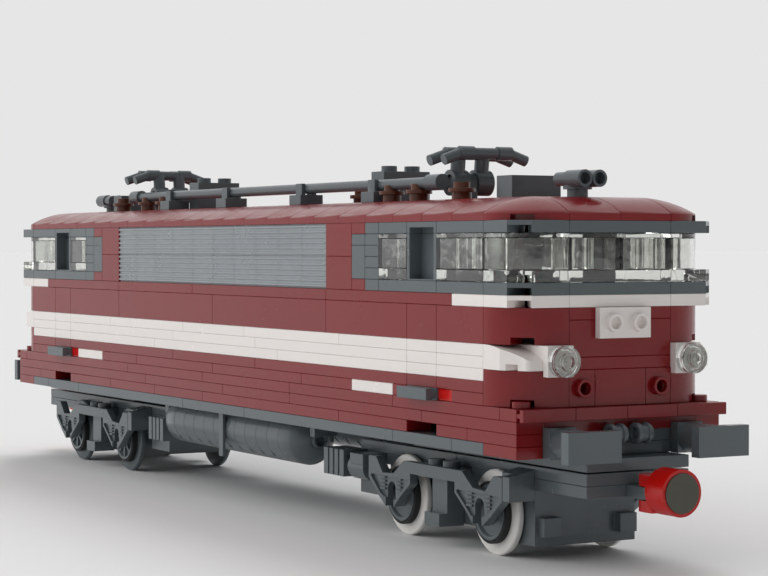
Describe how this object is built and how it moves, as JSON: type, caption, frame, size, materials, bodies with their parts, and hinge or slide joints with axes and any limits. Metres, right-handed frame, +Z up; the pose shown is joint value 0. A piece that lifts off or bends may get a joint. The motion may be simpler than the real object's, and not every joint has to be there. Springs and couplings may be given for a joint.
{
  "type": "brick-built toy electric locomotive",
  "caption": "Brick-built toy electric locomotive in dark red with a white stripe, grey trim, two swivelling bogies, magnetic couplers and folding current collectors.",
  "frame": {"origin": "on the floor under the middle of the model", "axes": "+X to the front, +Y to the left side, +Z up"},
  "size_m": [0.4216, 0.0704, 0.1114],
  "materials": {
    "dark_red": "glossy moulded plastic",
    "white": "glossy moulded plastic",
    "dark_grey": "glossy moulded plastic",
    "light_grey": "glossy moulded plastic",
    "bright_red": "glossy moulded plastic",
    "brown": "glossy moulded plastic",
    "clear": "clear moulded plastic",
    "wheel_white": "white flanges, black rubber treads and grey discs",
    "magnet": "dull metal disc"
  },
  "bodies": {
    "body": {"floor_plates": "dark_grey", "bogie_bearers": "dark_grey", "sill_walls": "dark_red", "side_stripes": "white", "side_walls": "dark_red", "nose_front": "dark_red", "nose_rear": "dark_red", "nose_belts": "white", "window_sills": "dark_grey", "window_heads": "dark_grey", "cab_glass_front": "clear", "cab_glass_rear": "clear", "door_frames": "dark_grey", "window_posts": "dark_grey", "side_grilles": "light_grey", "roof_middle": "dark_red", "roof_ends": "dark_red", "grab_handles": "dark_grey", "white_tiles": "white", "red_tiles": "bright_red", "corner_slopes": "white", "lamp_brackets": "white", "lamp_lenses": "clear", "number_plates": "white", "end_ledges": "dark_red", "buffers": "dark_grey", "brake_hoses": "dark_grey", "air_tanks": "dark_grey", "tank_straps": "dark_grey", "roof_boxes": "dark_grey", "horns": "dark_grey", "insulators": "brown", "roof_pipe": "dark_grey", "pipe_clips": "dark_grey", "roof_blocks": "dark_grey", "pantograph_bases": "dark_grey"},
    "bogie_front": {"bogie_plates_front": "dark_grey", "motor_front": "dark_grey", "pilot_front": "dark_grey", "side_frames_front": "dark_grey", "bogie_boxes_front": "dark_grey"},
    "bogie_rear": {"bogie_plates_rear": "dark_grey", "motor_rear": "dark_grey", "pilot_rear": "dark_grey", "side_frames_rear": "dark_grey", "bogie_boxes_rear": "dark_grey"},
    "wheels_1": {"wheelset_1": "wheel_white"},
    "wheels_2": {"wheelset_2": "wheel_white"},
    "wheels_3": {"wheelset_3": "dark_grey"},
    "wheels_4": {"wheelset_4": "dark_grey"},
    "coupling_front": {"coupler_front": "bright_red", "magnet_front": "magnet"},
    "current_collector_front": {"pantograph_front": "dark_grey"},
    "coupling_rear": {"coupler_rear": "bright_red", "magnet_rear": "magnet"},
    "current_collector_rear": {"pantograph_rear": "dark_grey"}
  },
  "joints": [
    {"name": "bogie_front_swivel", "type": "hinge", "parent": "body", "child": "bogie_front", "pos_m": [0.128, 0, 0.0252], "axis": [0, 0, 1], "range_deg": [-8, 8]},
    {"name": "bogie_rear_swivel", "type": "hinge", "parent": "body", "child": "bogie_rear", "pos_m": [-0.128, 0, 0.0252], "axis": [0, 0, 1], "range_deg": [-8, 8]},
    {"name": "wheels_1_spin", "type": "hinge", "parent": "bogie_front", "child": "wheels_1", "pos_m": [0.152, 0, 0.0116], "axis": [0, 1, 0], "continuous": true},
    {"name": "wheels_2_spin", "type": "hinge", "parent": "bogie_front", "child": "wheels_2", "pos_m": [0.104, 0, 0.0116], "axis": [0, 1, 0], "continuous": true},
    {"name": "wheels_3_spin", "type": "hinge", "parent": "bogie_rear", "child": "wheels_3", "pos_m": [-0.104, 0, 0.0116], "axis": [0, 1, 0], "continuous": true},
    {"name": "wheels_4_spin", "type": "hinge", "parent": "bogie_rear", "child": "wheels_4", "pos_m": [-0.152, 0, 0.0116], "axis": [0, 1, 0], "continuous": true},
    {"name": "coupling_front_swivel", "type": "hinge", "parent": "bogie_front", "child": "coupling_front", "pos_m": [0.1986, 0, 0.0204], "axis": [0, 0, 1], "range_deg": [-30, 30]},
    {"name": "coupling_rear_swivel", "type": "hinge", "parent": "bogie_rear", "child": "coupling_rear", "pos_m": [-0.1986, 0, 0.0204], "axis": [0, 0, 1], "range_deg": [-30, 30]},
    {"name": "current_collector_front_fold", "type": "hinge", "parent": "body", "child": "current_collector_front", "pos_m": [0.108, 0, 0.1012], "axis": [0, 1, 0], "range_deg": [-50, 25]},
    {"name": "current_collector_rear_fold", "type": "hinge", "parent": "body", "child": "current_collector_rear", "pos_m": [-0.108, 0, 0.1012], "axis": [0, -1, 0], "range_deg": [-50, 25]}
  ]
}
